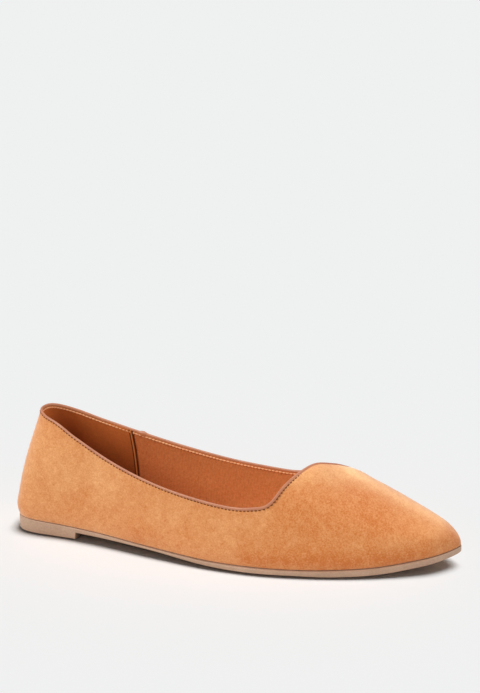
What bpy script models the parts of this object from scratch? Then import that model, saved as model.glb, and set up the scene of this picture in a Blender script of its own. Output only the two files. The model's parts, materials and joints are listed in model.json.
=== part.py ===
"""Pointed ballet flat, right shoe: moulded sole, suede upper, sock insole and a bound topline.

Sizes are in millimetres along the last: along from the heel seat's back to the toe, medial side positive,
heights from the ground. The shoe is moved to its own bottom centre at the end.
"""

import bmesh
import bpy
import numpy as np

MM = 0.001
MERGE = 0.02
SLOPE_STEP = 0.01
TURN_STEP = 0.004
CENTRE_ALONG = 127.85
CENTRE_ACROSS = -2.91

LAST_LENGTH = 254.0
HEEL_ROUND = 31.0
HEEL_BLUNT = 3.4
TOE_ROUND = 16.0
TIP_ROUND = 13.0
TIP_BLUNT = 2.6
FEATHER_TUCK = 1.8
TUCK_HEIGHT = 12.0
COUNTER_FADE = 90.0
INSIDE_POINT = (110.0, 0.0, 0.0)
END_CLEAR = 0.02

WALL = 1.5
GAP = 0.3
BINDING_HEIGHT = 1.8
BINDING_PROUD = 0.25
CROWN_FLATNESS = 0.8
CROWN_STEPS = 5
HEEL_LENGTH = 40.2
BREAST_LEAN = 0.4
EDGE_ROUND = 0.5
TREAD_CURVE = 5.0
INSOLE_THICKNESS = 2.0
INSOLE_INSET = 2.3

SIDE_STEPS = 56
UPPER_ROWS = 10
SOLE_STEPS, SOLE_SPANS = 44, 4
INSOLE_STEPS, INSOLE_SPANS = 30, 3
# Turn at which the upper's rings begin to fan out over the toe, and the turn over which they do so
TOE_FAN_START, TOE_FAN_LENGTH = 0.55, 0.35

# One row per section of the last: outline each side, middle line, feather height, top of the cone,
# how far the cone's ridge leans to the medial side, fullness of the section, ledge and thickness of the sole,
# and how far its tread curves up to the edge
SECTION = ("along", "lateral", "medial", "middle", "seat", "crest", "ridge", "full", "welt", "thick", "turn_up")
SECTIONS = [
    (0, -24.3, 23.7, 0.0, 9.0, 79.8, 0.0, 2.1, 0.2, 3.6, 0.9),
    (20, -23.4, 24.1, 0.0, 8.4, 79.8, 0.0, 2.1, 0.3, 3.6, 0.9),
    (51, -25.9, 24.9, 0.0, 7.1, 82.2, 0.0, 2.2, 0.5, 3.2, 1.0),
    (89, -33.9, 25.5, -2.0, 5.6, 82.4, 0.0, 2.4, 0.8, 2.6, 1.4),
    (127, -40.5, 30.3, -3.0, 4.3, 76.1, 2.0, 2.3, 1.2, 3.4, 1.1),
    (152, -41.1, 33.8, -2.0, 4.2, 67.2, 3.0, 2.2, 1.3, 4.0, 1.3),
    (173, -38.3, 35.5, 0.0, 4.2, 58.4, 3.0, 2.1, 1.3, 4.1, 1.4),
    (193, -33.5, 34.8, 2.0, 4.7, 47.9, 2.5, 2.1, 1.3, 4.1, 0.9),
    (216, -25.2, 29.7, 4.0, 6.0, 37.6, 1.5, 2.1, 1.3, 4.2, 0.8),
    (236, -15.0, 21.9, 5.0, 8.6, 28.4, 0.5, 2.1, 1.2, 4.2, 0.9),
    (254, -5.4, 15.3, 6.0, 11.7, 19.8, 0.0, 2.1, 0.3, 3.7, 0.5),
]

# Back of the counter, by height: out at the bulge above the seat, then in towards the collar
COUNTER = ("height", "forward")
COUNTERS = [(0, 8.0), (12.8, 1.45), (22.8, 2.6), (40.8, 6.2), (66.8, 13.7), (100, 22.0)]

# Topline: where each pattern line starts on the feather edge, where it ends along the last,
# and how far it climbs the section (0 feather edge, 1 ridge, over 1 past the ridge)
TOPLINE = ("foot", "along", "climb")
LATERAL_TOPLINE = [
    (0, 0, 0.652), (8, 8, 0.632), (22, 22, 0.587), (38, 38, 0.494), (61, 61, 0.393), (92, 92, 0.321),
    (120, 117, 0.306), (146, 137, 0.315), (165, 147.6, 0.343), (184, 156.2, 0.394), (203, 163.2, 0.552),
    (219, 169.4, 0.700), (233, 175.6, 0.853), (243, 182.2, 0.962), (249.5, 187.1, 1.052), (254, 191.3, 1.175),
]
MEDIAL_TOPLINE = [
    (0, 0, 0.652), (8, 8, 0.635), (22, 22, 0.574), (44, 44, 0.478), (64, 64, 0.418), (93, 93, 0.355),
    (124, 122, 0.319), (150, 145, 0.324), (170, 156, 0.343), (190, 165.5, 0.395), (208, 174, 0.458),
    (224, 181.5, 0.533), (237, 187.0, 0.618), (247, 190.2, 0.715), (254, 191.3, 0.825),
]


def through(across, values, at):
    """Smooth curve through a table's points, with each slope taken from its neighbours."""
    across, values = np.asarray(across, float), np.asarray(values, float)
    step = np.diff(across)
    rise = np.diff(values) / step
    slope = np.empty_like(values)
    slope[1:-1] = (rise[:-1] * step[1:] + rise[1:] * step[:-1]) / (step[:-1] + step[1:])
    slope[0] = 1.5 * rise[0] - 0.5 * slope[1]
    slope[-1] = 1.5 * rise[-1] - 0.5 * slope[-2]
    at = np.clip(np.asarray(at, float), across[0], across[-1])
    i = np.clip(np.searchsorted(across, at, side="right") - 1, 0, len(step) - 1)
    t = (at - across[i]) / step[i]
    return ((1 + 2 * t) * (1 - t) ** 2 * values[i] + t * (1 - t) ** 2 * step[i] * slope[i]
            + t * t * (3 - 2 * t) * values[i + 1] + t * t * (t - 1) * step[i] * slope[i + 1])


def column(names, rows, name):
    return [row[names.index(name)] for row in rows]


def section(name, along):
    return through(column(SECTION, SECTIONS, "along"), column(SECTION, SECTIONS, name), along)


def round_end(share, blunt=2.0):
    """Quarter round from 0 at an end to 1; over 2 it is blunter than a circle."""
    return (1 - (1 - np.clip(share, 0, 1)) ** blunt) ** (1 / blunt)


def along_of(turn):
    """Length along the last for a turn from 0 at the heel to 1 at the toe, close-set at both ends."""
    return LAST_LENGTH * (1 - np.cos(np.pi * np.asarray(turn, float))) / 2


def turn_of(along):
    return np.arccos(1 - 2 * np.asarray(along, float) / LAST_LENGTH) / np.pi


def skin(along, side):
    """Point on the last: side runs from -1 at the lateral feather edge over 0 at the ridge to 1."""
    from_toe = LAST_LENGTH - along
    angle = np.clip(1 - np.abs(side), 0, 1) * np.pi / 2
    blunt = HEEL_BLUNT + (2 - HEEL_BLUNT) * np.sin(angle)
    ends = round_end(along / HEEL_ROUND, blunt) * round_end(from_toe / TOE_ROUND)
    middle, seat = section("middle", along), section("seat", along)
    edge = np.where(side < 0, section("lateral", along), section("medial", along))
    edge = middle + (edge - middle) * ends
    crest = seat + (section("crest", along) - seat) * round_end(from_toe / TIP_ROUND, TIP_BLUNT)
    height = seat + (crest - seat) * np.sin(angle)
    top = middle + section("ridge", along) * round_end(from_toe / TOE_ROUND) * np.sin(angle)
    across = top + (edge - top) * np.cos(angle) ** (2 / section("full", along))
    tuck = FEATHER_TUCK * np.clip(1 - (height - seat) / TUCK_HEIGHT, 0, 1) ** 2
    across = across - np.where(side < 0, -1, 1) * tuck * ends
    back = through(column(COUNTER, COUNTERS, "height"), column(COUNTER, COUNTERS, "forward"), height)
    forward = along + back * np.clip(1 - along / COUNTER_FADE, 0, 1) ** 2
    return np.stack([forward, across, height], -1)


def skin_runs(along, side):
    """Short runs on the last's skin, along it and across it."""
    return (skin(along + SLOPE_STEP, side) - skin(along - SLOPE_STEP, side),
            skin(along, side + SLOPE_STEP) - skin(along, side - SLOPE_STEP))


def unit(vectors):
    return vectors / np.linalg.norm(vectors, axis=-1, keepdims=True)


def round_loop(values):
    """Slope of a closed loop of points along itself."""
    return np.roll(values, -1, axis=0) - np.roll(values, 1, axis=0)


def topline(turn, medial):
    """Place on the last, along and side, of the topline for a turn from the heel to the throat."""
    rows = MEDIAL_TOPLINE if medial else LATERAL_TOPLINE
    start = turn_of(column(TOPLINE, rows, "foot"))
    along = through(start, column(TOPLINE, rows, "along"), turn)
    side = 1 - through(start, column(TOPLINE, rows, "climb"), turn)
    return along, side if medial else -side


def loop_turns(steps):
    """Turns round the shoe: up the lateral side from the heel, back down the medial side."""
    up = np.arange(steps) / steps
    return np.concatenate([up, 1 - up]), np.concatenate([np.zeros(steps, bool), np.ones(steps, bool)])


def topline_loop(steps):
    turns, medial = loop_turns(steps)
    lateral_place, medial_place = topline(turns, False), topline(turns, True)
    return [np.where(medial, m, n) for n, m in zip(lateral_place, medial_place)]


def moved_on_skin(along, side, shift):
    """Step along the last's skin by a vector that lies on it."""
    by_along, by_side = (run / (2 * SLOPE_STEP) for run in skin_runs(along, side))
    aa, bb, ab = (by_along ** 2).sum(-1), (by_side ** 2).sum(-1), (by_along * by_side).sum(-1)
    ra, rb = (by_along * shift).sum(-1), (by_side * shift).sum(-1)
    apart = aa * bb - ab * ab
    return along + (ra * bb - rb * ab) / apart, side + (rb * aa - ra * ab) / apart


def topline_frame(steps):
    """Topline points with their outward direction and the direction down the upper."""
    along, side = topline_loop(steps)
    along = np.maximum(along, END_CLEAR)
    points = skin(along, side)
    tangent = unit(round_loop(points))
    outward = unit(np.cross(*skin_runs(along, side)))
    outward *= np.sign((outward * (points - INSIDE_POINT)).sum(-1))[:, None]
    down = unit(np.cross(tangent, outward))
    down *= np.sign(-down[0, 2])
    return along, side, points, outward, down


def upper_rows(steps, rows, top_trim):
    """Rings of the upper's outer face, from the feather edge to the trimmed topline."""
    turns, medial = loop_turns(steps)
    along, side, points, outward, down = topline_frame(steps)
    top_along, top_side = moved_on_skin(along, side, top_trim * down)
    top_along = np.maximum(top_along, 0.0)
    foot_along, foot_side = along_of(turns), np.where(medial, 1.0, -1.0)
    toe = np.clip((turns - TOE_FAN_START) / TOE_FAN_LENGTH, 0, 1)
    toe = toe * toe * (3 - 2 * toe)

    def chart(along_at, side_at):
        reach = np.sqrt(np.clip(1 - along_at / LAST_LENGTH, 0, 1))
        return reach * np.sin(side_at * np.pi / 2), reach * np.cos(side_at * np.pi / 2)

    foot_a, foot_b = chart(foot_along, foot_side)
    top_a, top_b = chart(top_along, top_side)
    rings = []
    for t in np.linspace(0, 1, rows + 1):
        a, b = foot_a + (top_a - foot_a) * t, foot_b + (top_b - foot_b) * t
        toe_along, toe_side = LAST_LENGTH * (1 - a * a - b * b), np.arctan2(a, np.maximum(b, 0)) * 2 / np.pi
        at = (foot_along + (top_along - foot_along) * t) * (1 - toe) + toe_along * toe
        over = (foot_side + (top_side - foot_side) * t) * (1 - toe) + toe_side * toe
        rings.append(skin(np.clip(at, 0, LAST_LENGTH), over))
    return np.array(rings)


def outline(turns, medial, offset):
    """Feather edge seen from above, moved outwards by an offset."""
    side = np.where(medial, 1.0, -1.0)

    def edge(turn):
        flip = np.where((turn < 0) | (turn > 1), -1.0, 1.0)
        inside = np.where(turn < 0, -turn, np.where(turn > 1, 2 - turn, turn))
        return skin(along_of(inside), side * flip)

    points = edge(turns)
    run = edge(turns + TURN_STEP) - edge(turns - TURN_STEP)
    out = unit(np.stack([run[:, 1], -run[:, 0]], -1)) * np.where(medial, -1.0, 1.0)[:, None]
    points[:, :2] += out * np.asarray(offset)[..., None]
    return points


def tread_height(along):
    """Underside of the sole: flat heel, breast, arch, flat ball and toe spring."""
    fore = np.maximum(section("seat", along) - GAP - section("thick", along), 0)
    lift = np.clip((along - HEEL_LENGTH) / BREAST_LEAN, 0, 1)
    return fore * lift


def slab(turns, profile):
    """Closed slab from sections across the shoe; profile gives one section's points, lateral side first."""
    lateral, medial = np.zeros(len(turns), bool), np.ones(len(turns), bool)
    return np.array(profile(turns, lateral, medial))


def level(place, height):
    """Points of the plan at a height."""
    return np.concatenate([place, height[:, None]], -1)


def crossing(low, high, height, spans):
    """Points from one edge of the plan to the other, at a height."""
    return [level(low + (high - low) * share, height) for share in np.linspace(0, 1, spans + 1)]


def sole_rings(turns, lateral, medial):
    along = along_of(turns)
    welt = section("welt", along)
    top, bottom = section("seat", along) - GAP, tread_height(along)
    turn_up = section("turn_up", along)
    near = [outline(turns, lateral, welt - inset)[:, :2] for inset in (0, EDGE_ROUND, TREAD_CURVE * turn_up)]
    far = [outline(turns, medial, welt - inset)[:, :2] for inset in (0, EDGE_ROUND, TREAD_CURVE * turn_up)]
    return (crossing(near[1], far[1], top, SOLE_SPANS)
            + [level(far[0], top - EDGE_ROUND), level(far[0], bottom + turn_up)]
            + crossing(far[2], near[2], bottom, SOLE_SPANS)
            + [level(near[0], bottom + turn_up), level(near[0], top - EDGE_ROUND)])


def insole_rings(turns, lateral, medial):
    along = along_of(turns)
    bottom = section("seat", along)
    top = bottom + INSOLE_THICKNESS
    insets = [np.full(len(turns), INSOLE_INSET + more) for more in (0, EDGE_ROUND)]
    near = [outline(turns, lateral, -inset)[:, :2] for inset in insets]
    far = [outline(turns, medial, -inset)[:, :2] for inset in insets]
    return (crossing(near[1], far[1], top, INSOLE_SPANS) + [level(far[0], top - EDGE_ROUND)]
            + crossing(far[0], near[0], bottom, INSOLE_SPANS) + [level(near[0], top - EDGE_ROUND)])


def material(name, colour, roughness):
    made = bpy.data.materials.new(name)
    made.use_nodes = True
    shader = made.node_tree.nodes["Principled BSDF"]
    shader.inputs["Base Color"].default_value = (*colour, 1)
    shader.inputs["Roughness"].default_value = roughness
    return made


def solid(name, rings, collection, look, loops):
    """Closed mesh from rings of points. loops: the rings close on themselves; the ring list always closes."""
    rings = np.array(rings)
    bm = bmesh.new()
    moved = (rings - [CENTRE_ALONG, CENTRE_ACROSS, 0]) * MM
    verts = [[bm.verts.new(p) for p in ring] for ring in moved]
    count, length = len(verts), len(verts[0])
    for i in range(count):
        for j in range(length if loops else length - 1):
            k = (i + 1) % count, (j + 1) % length
            bm.faces.new((verts[i][j], verts[k[0]][j], verts[k[0]][k[1]], verts[i][k[1]]))
    bmesh.ops.remove_doubles(bm, verts=bm.verts, dist=MERGE * MM)
    bmesh.ops.dissolve_degenerate(bm, edges=bm.edges, dist=MERGE * MM / 2)
    bmesh.ops.recalc_face_normals(bm, faces=bm.faces)
    mesh = bpy.data.meshes.new(name)
    bm.to_mesh(mesh)
    bm.free()
    made = bpy.data.objects.new(name, mesh)
    made.data.materials.append(look)
    collection.objects.link(made)
    return made


for old in list(bpy.data.objects):
    bpy.data.objects.remove(old, do_unlink=True)
shoe = bpy.data.collections.new("ballet_flat")
bpy.context.scene.collection.children.link(shoe)

# Sole: forepart and low heel moulded together, flush at the heel and with a small ledge round the toe
breast = turn_of([HEEL_LENGTH, HEEL_LENGTH + BREAST_LEAN])
sole_turns = np.union1d(np.linspace(0, 1, SOLE_STEPS + 1), breast)
solid("outsole", slab(sole_turns, sole_rings), shoe, material("rubber", (0.42, 0.27, 0.17), 0.6), False)

# Upper: one shell on the last, cut off below the binding and open underneath
outer = upper_rows(SIDE_STEPS, UPPER_ROWS, BINDING_HEIGHT + GAP)
up = np.gradient(outer, axis=0)
along_ring = np.roll(outer, -1, axis=1) - np.roll(outer, 1, axis=1)
normal = unit(np.cross(along_ring, up))
inner = outer - normal * WALL
solid("upper", np.concatenate([outer, inner[::-1]]), shoe, material("suede", (0.73, 0.31, 0.10), 0.95), True)

# Sock: a thin board on the sole, just clear of the wall
solid("insole", slab(np.linspace(0, 1, INSOLE_STEPS + 1), insole_rings), shoe,
      material("sock", (0.51, 0.13, 0.04), 0.85), False)

# Binding: folded tape round the topline, a little proud of the suede on both faces
_, _, points, outward, down = topline_frame(SIDE_STEPS)
proud, inside = BINDING_PROUD, -WALL - BINDING_PROUD
half = (proud - inside) / 2
crown = [(inside + half * (1 - np.cos(a)), half * CROWN_FLATNESS * (1 - np.sin(a)))
         for a in np.linspace(0, np.pi, CROWN_STEPS + 1)]
tape = [(inside, BINDING_HEIGHT)] + crown + [(proud, BINDING_HEIGHT)]
solid("topline_binding", [points + outward * out + down * drop for out, drop in tape], shoe,
      material("tape", (0.48, 0.22, 0.14), 0.5), True)
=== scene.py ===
import json
import math

import bmesh
import bpy
import numpy as np
from mathutils import Matrix

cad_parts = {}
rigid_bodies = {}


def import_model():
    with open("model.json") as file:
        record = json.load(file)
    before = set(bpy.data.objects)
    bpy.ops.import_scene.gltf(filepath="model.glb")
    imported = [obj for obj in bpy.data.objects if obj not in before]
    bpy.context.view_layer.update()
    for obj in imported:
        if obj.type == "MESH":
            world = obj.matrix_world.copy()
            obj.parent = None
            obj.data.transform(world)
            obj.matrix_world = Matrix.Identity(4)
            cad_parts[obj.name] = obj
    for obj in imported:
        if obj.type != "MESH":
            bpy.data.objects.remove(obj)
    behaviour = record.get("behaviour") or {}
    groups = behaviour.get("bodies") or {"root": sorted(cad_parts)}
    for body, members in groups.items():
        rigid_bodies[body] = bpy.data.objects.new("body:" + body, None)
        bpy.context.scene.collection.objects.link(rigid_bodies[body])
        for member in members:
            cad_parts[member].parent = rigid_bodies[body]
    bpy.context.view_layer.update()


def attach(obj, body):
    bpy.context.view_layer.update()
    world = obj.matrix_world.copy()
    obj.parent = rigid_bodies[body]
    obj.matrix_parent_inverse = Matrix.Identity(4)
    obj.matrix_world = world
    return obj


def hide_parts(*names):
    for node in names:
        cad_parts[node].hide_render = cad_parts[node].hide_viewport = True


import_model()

# Upper: one piece of brushed microfibre suede, closed by a butt seam on the medial side, lasted over the foot
# form and turned under at the feather edge. Sizes are millimetres on the last: along from the heel, across
# with the medial side positive, up from the ground. Round the shoe, 0 is the heel's back and 0.5 the toe.
MM = 0.001
METRE = 1000.0
LAST_CENTRE = (127.85, -2.91, 0.0)
INSIDE_POINT = (110.0, 0.0, 0.0)
LAST_LENGTH = 254.0
HEEL_ROUND, HEEL_BLUNT = 31.0, 3.4
TOE_ROUND = 16.0
TIP_ROUND, TIP_BLUNT = 13.0, 2.6
FEATHER_TUCK, TUCK_HEIGHT = 1.8, 12.0
FEATHER_ROUND = 0.6
COUNTER_FADE = 90.0
SUEDE_THICK = 0.65
SUEDE_TRIM = 0.7
LASTING_MARGIN = 7.0
SIDE_SEAM = (71.0, 67.5)
SEAM_HALF_WIDTH, SEAM_DEPTH = 0.6, 0.4

# One row per section of the last: outline each side, middle line, feather height, top of the cone,
# how far the cone's ridge leans to the medial side, fullness of the section, ledge and thickness of the sole,
# and how far its tread curves up to the edge
SECTION = ("along", "lateral", "medial", "middle", "seat", "crest", "ridge", "full", "welt", "thick",
           "turn_up")
SECTIONS = [
    (0, -24.3, 23.7, 0.0, 9.0, 79.8, 0.0, 2.1, 0.2, 3.6, 0.9),
    (20, -23.4, 24.1, 0.0, 8.4, 79.8, 0.0, 2.1, 0.3, 3.6, 0.9),
    (51, -25.9, 24.9, 0.0, 7.1, 82.2, 0.0, 2.2, 0.5, 3.2, 1.0),
    (89, -33.9, 25.5, -2.0, 5.6, 82.4, 0.0, 2.4, 0.8, 2.6, 1.4),
    (127, -40.5, 30.3, -3.0, 4.3, 76.1, 2.0, 2.3, 1.2, 3.4, 1.1),
    (152, -41.1, 33.8, -2.0, 4.2, 67.2, 3.0, 2.2, 1.3, 4.0, 1.3),
    (173, -38.3, 35.5, 0.0, 4.2, 58.4, 3.0, 2.1, 1.3, 4.1, 1.4),
    (193, -33.5, 34.8, 2.0, 4.7, 47.9, 2.5, 2.1, 1.3, 4.1, 0.9),
    (216, -25.2, 29.7, 4.0, 6.0, 37.6, 1.5, 2.1, 1.3, 4.2, 0.8),
    (236, -15.0, 21.9, 5.0, 8.6, 28.4, 0.5, 2.1, 1.2, 4.2, 0.9),
    (254, -5.4, 15.3, 6.0, 11.7, 19.8, 0.0, 2.1, 0.3, 3.7, 0.5),
]
# Back of the counter, by height: out at the bulge above the seat, then in towards the collar
COUNTER = ("height", "forward")
COUNTERS = [(0, 8.0), (12.8, 1.45), (22.8, 2.6), (40.8, 6.2), (66.8, 13.7), (100, 22.0)]
# Topline: where each pattern line starts on the feather edge, where it ends along the last,
# and how far it climbs the section (0 feather edge, 1 ridge, over 1 past the ridge)
TOPLINE = ("foot", "along", "climb")
LATERAL_TOPLINE = [
    (0, 0, 0.652), (8, 8, 0.632), (22, 22, 0.587), (38, 38, 0.494), (61, 61, 0.393), (92, 92, 0.321),
    (120, 117, 0.306), (146, 137, 0.315), (165, 147.6, 0.343), (184, 156.2, 0.394), (203, 163.2, 0.552),
    (219, 169.4, 0.700), (233, 175.6, 0.853), (243, 182.2, 0.962), (249.5, 187.1, 1.052), (254, 191.3, 1.175),
]
MEDIAL_TOPLINE = [
    (0, 0, 0.652), (8, 8, 0.635), (22, 22, 0.574), (44, 44, 0.478), (64, 64, 0.418), (93, 93, 0.355),
    (124, 122, 0.319), (150, 145, 0.324), (170, 156, 0.343), (190, 165.5, 0.395), (208, 174, 0.458),
    (224, 181.5, 0.533), (237, 187.0, 0.618), (247, 190.2, 0.715), (254, 191.3, 0.825),
]
# Soft troughs and ridges of the stuffed upper, from one place on the last to another (side -1 is the lateral
# feather edge, 0 the ridge, 1 the medial edge), with their half width and depth; a negative depth is a ridge
CREASES = [
    (190, -0.20, 222, -0.45, 9.0, 0.55), (197, 0.14, 232, 0.16, 8.0, -0.35),
    (221, -0.62, 238, -0.55, 8.0, -0.30), (22, -0.86, 29, -0.62, 5.0, -0.25),
    (44, -0.86, 52, -0.64, 8.0, 0.35), (176, -0.80, 160, -0.58, 7.0, 0.30),
    (143, -0.92, 150, -0.74, 6.0, 0.25), (104, -0.90, 112, -0.74, 9.0, 0.30),
    (196, 0.42, 226, 0.60, 9.0, 0.45), (46, 0.86, 54, 0.64, 8.0, 0.35),
    (170, 0.80, 182, 0.62, 7.0, 0.30), (106, 0.90, 116, 0.76, 9.0, 0.30),
]
# Painted highlight and shade, with a few patches of nap tone: pale along the ridge, by the throat and on the
# quarters, where light and sheen catch them, and deeper along the lower edge by the sole, on the vamp's side
# and at the toe; the same kind of lines, with the change of tone in place of a depth
PAINTED_LIGHT_AND_NAP = [
    (166, -0.34, 190, -0.06, 8.0, 0.27), (176, 0.36, 192, 0.06, 9.0, 0.30),
    (192, 0.02, 241, -0.03, 6.0, 0.40), (194, -0.20, 226, -0.50, 8.0, -0.10),
    (174, -0.64, 202, -0.50, 15.0, -0.14), (138, -0.80, 161, -0.69, 6.0, 0.04),
    (148, -0.95, 238, -0.90, 6.0, -0.28), (222, -0.66, 242, -0.50, 6.0, 0.05),
    (12, -0.68, 60, -0.72, 16.0, 0.18), (90, -0.78, 124, -0.80, 14.0, 0.06),
    (44, -0.84, 48, -0.80, 6.0, -0.10), (104, -0.88, 110, -0.87, 6.0, -0.08),
    (80, -0.94, 90, -0.92, 5.0, -0.10), (12, 0.68, 60, 0.72, 16.0, 0.12),
    (90, 0.78, 124, 0.80, 14.0, 0.06), (148, 0.95, 238, 0.90, 6.0, -0.22),
    (198, 0.34, 228, 0.52, 9.0, -0.10), (247, -0.60, 253, -0.40, 6.0, -0.10),
]
LINE_SAMPLES = 15
# Roll of the vamp over the throat, by the turn where it begins: how far the edge sinks, how far the fullness
# just in front of it stands up, and how far each reaches
THROAT_START, THROAT_BLEND = 0.70, 0.10
THROAT_SINK, THROAT_FULL = 0.3, 0.3
SINK_REACH, FULL_AWAY, FULL_REACH = 2.5, 6.0, 4.5
# Small steps that slopes are taken over, and the turn below which the wall closes on the heel's centre back
SLOPE_STEP, TURN_STEP = 0.01, 0.002
HEEL_SEAM = 0.0001
# Turn from which the pattern lines fan round the toe, and the turn that the change takes
TOE_FAN_START, TOE_FAN_LENGTH = 0.55, 0.35


def through(across, values, at):
    """Smooth curve through a table's points, with each slope taken from its neighbours."""
    across, values = np.asarray(across, float), np.asarray(values, float)
    step = np.diff(across)
    rise = np.diff(values) / step
    slope = np.empty_like(values)
    slope[1:-1] = (rise[:-1] * step[1:] + rise[1:] * step[:-1]) / (step[:-1] + step[1:])
    slope[0] = 1.5 * rise[0] - 0.5 * slope[1]
    slope[-1] = 1.5 * rise[-1] - 0.5 * slope[-2]
    at = np.clip(np.asarray(at, float), across[0], across[-1])
    i = np.clip(np.searchsorted(across, at, side="right") - 1, 0, len(step) - 1)
    t = (at - across[i]) / step[i]
    return ((1 + 2 * t) * (1 - t) ** 2 * values[i] + t * (1 - t) ** 2 * step[i] * slope[i]
            + t * t * (3 - 2 * t) * values[i + 1] + t * t * (t - 1) * step[i] * slope[i + 1])


def column(names, rows, name):
    return [row[names.index(name)] for row in rows]


def section(name, along):
    return through(column(SECTION, SECTIONS, "along"), column(SECTION, SECTIONS, name), along)


def eased(share):
    """Share from 0 to 1 that starts and ends slowly."""
    share = np.clip(share, 0, 1)
    return share * share * (3 - 2 * share)


def round_end(share, blunt=2.0):
    """Quarter round from 0 at an end to 1; over 2 it is blunter than a circle."""
    return (1 - (1 - np.clip(share, 0, 1)) ** blunt) ** (1 / blunt)


def along_of(turn):
    """Length along the last for a turn from 0 at the heel to 1 at the toe, close-set at both ends."""
    return LAST_LENGTH * (1 - np.cos(np.pi * np.asarray(turn, float))) / 2


def turn_of(along):
    return np.arccos(1 - 2 * np.asarray(along, float) / LAST_LENGTH) / np.pi


def skin(along, side):
    """Point on the last: side runs from -1 at the lateral feather edge over 0 at the ridge to 1."""
    from_toe = LAST_LENGTH - along
    angle = np.clip(1 - np.abs(side), 0, 1) * np.pi / 2
    blunt = HEEL_BLUNT + (2 - HEEL_BLUNT) * np.sin(angle)
    ends = round_end(along / HEEL_ROUND, blunt) * round_end(from_toe / TOE_ROUND)
    middle, seat = section("middle", along), section("seat", along)
    edge = np.where(side < 0, section("lateral", along), section("medial", along))
    edge = middle + (edge - middle) * ends
    crest = seat + (section("crest", along) - seat) * round_end(from_toe / TIP_ROUND, TIP_BLUNT)
    height = seat + (crest - seat) * np.sin(angle)
    top = middle + section("ridge", along) * round_end(from_toe / TOE_ROUND) * np.sin(angle)
    across = top + (edge - top) * np.cos(angle) ** (2 / section("full", along))
    tuck = FEATHER_TUCK * np.clip(1 - (height - seat) / TUCK_HEIGHT, 0, 1) ** 2
    across = across - np.where(side < 0, -1, 1) * tuck * ends
    back = through(column(COUNTER, COUNTERS, "height"), column(COUNTER, COUNTERS, "forward"), height)
    forward = along + back * np.clip(1 - along / COUNTER_FADE, 0, 1) ** 2
    return np.stack([forward, across, height], -1)


def unit(vectors):
    return vectors / np.linalg.norm(vectors, axis=-1, keepdims=True)


def turn_and_hand(u):
    """Turn from heel to toe, and the side of the shoe, for a place round it."""
    u = np.mod(u, 1.0)
    return 1 - np.abs(1 - 2 * u), np.where(u > 0.5, 1.0, -1.0)


def topline(u):
    """Place on the last, along and side, of the topline."""
    turn, hand = turn_and_hand(u)
    places = []
    for rows, sign in ((LATERAL_TOPLINE, -1), (MEDIAL_TOPLINE, 1)):
        start = turn_of(column(TOPLINE, rows, "foot"))
        along = np.maximum(through(start, column(TOPLINE, rows, "along"), turn), 0.0)
        places.append((along, sign * (1 - through(start, column(TOPLINE, rows, "climb"), turn))))
    return [np.where(hand > 0, medial, lateral) for lateral, medial in zip(*places)]


def slopes(along, side):
    """How the skin's point moves per step along the last and round its section."""
    by_along = skin(along + SLOPE_STEP, side) - skin(along - SLOPE_STEP, side)
    by_side = skin(along, side + SLOPE_STEP) - skin(along, side - SLOPE_STEP)
    return by_along / (2 * SLOPE_STEP), by_side / (2 * SLOPE_STEP)


# Topline's own frame, on a close ring: its point, the way out of the upper and the way down it
RING_STEPS = 1024
ring = np.arange(RING_STEPS) / RING_STEPS
ring_points = skin(*topline(ring))
ring_run = unit(np.roll(ring_points, -1, axis=0) - np.roll(ring_points, 1, axis=0))
ring_out = unit(np.cross(*slopes(*topline(ring))))
ring_out *= np.sign((ring_out * (ring_points - INSIDE_POINT)).sum(-1))[:, None]
ring_down = unit(np.cross(ring_run, ring_out))
ring_down *= np.sign(-ring_down[0, 2])


def at_ring(u, values):
    return np.stack([np.interp(u, ring, part, period=1) for part in values.T], -1)


def wall_place(u, v, trim):
    """Along and side of a place on the upper: round the shoe, and up from the feather edge to the topline,
    which is trimmed by a little so that the tape covers the edge."""
    turn, hand = turn_and_hand(u)
    along, side = topline(u)
    by_along, by_side = slopes(along, side)
    aa, bb, ab = (by_along ** 2).sum(-1), (by_side ** 2).sum(-1), (by_along * by_side).sum(-1)
    down = trim * at_ring(u, ring_down)
    ra, rb = (by_along * down).sum(-1), (by_side * down).sum(-1)
    apart = aa * bb - ab * ab
    top_along = np.where(turn < HEEL_SEAM, 0.0, np.maximum(along + (ra * bb - rb * ab) / apart, 0.0))
    top_side = side + (rb * aa - ra * ab) / apart
    foot_along = along_of(turn)
    toe = eased((turn - TOE_FAN_START) / TOE_FAN_LENGTH)

    def chart(along_at, side_at):
        reach = np.sqrt(np.clip(1 - along_at / LAST_LENGTH, 0, 1))
        return reach * np.sin(side_at * np.pi / 2), reach * np.cos(side_at * np.pi / 2)

    foot_a, foot_b = chart(foot_along, hand)
    top_a, top_b = chart(top_along, top_side)
    a, b = foot_a + (top_a - foot_a) * v, foot_b + (top_b - foot_b) * v
    toe_along, toe_side = LAST_LENGTH * (1 - a * a - b * b), np.arctan2(a, np.maximum(b, 0)) * 2 / np.pi
    at = (foot_along + (top_along - foot_along) * v) * (1 - toe) + toe_along * toe
    over = (hand + (top_side - hand) * v) * (1 - toe) + toe_side * toe
    return np.clip(at, 0, LAST_LENGTH), over


def soft_lines(points, rows):
    """Sum of the soft lines of a table at points of the skin."""
    total = np.zeros(len(points))
    share = np.linspace(0, 1, LINE_SAMPLES)
    for along, side, to_along, to_side, half_width, amount in rows:
        line = skin(along + (to_along - along) * share, side + (to_side - side) * share)
        near = np.linalg.norm(points[:, None] - line, axis=-1).min(-1)
        total += amount * np.exp(-(near / half_width) ** 2)
    return total


def throat(u):
    """Share of the throat's roll: 0 along the sides, 1 round the throat."""
    return eased((turn_and_hand(u)[0] - THROAT_START) / THROAT_BLEND)


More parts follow.
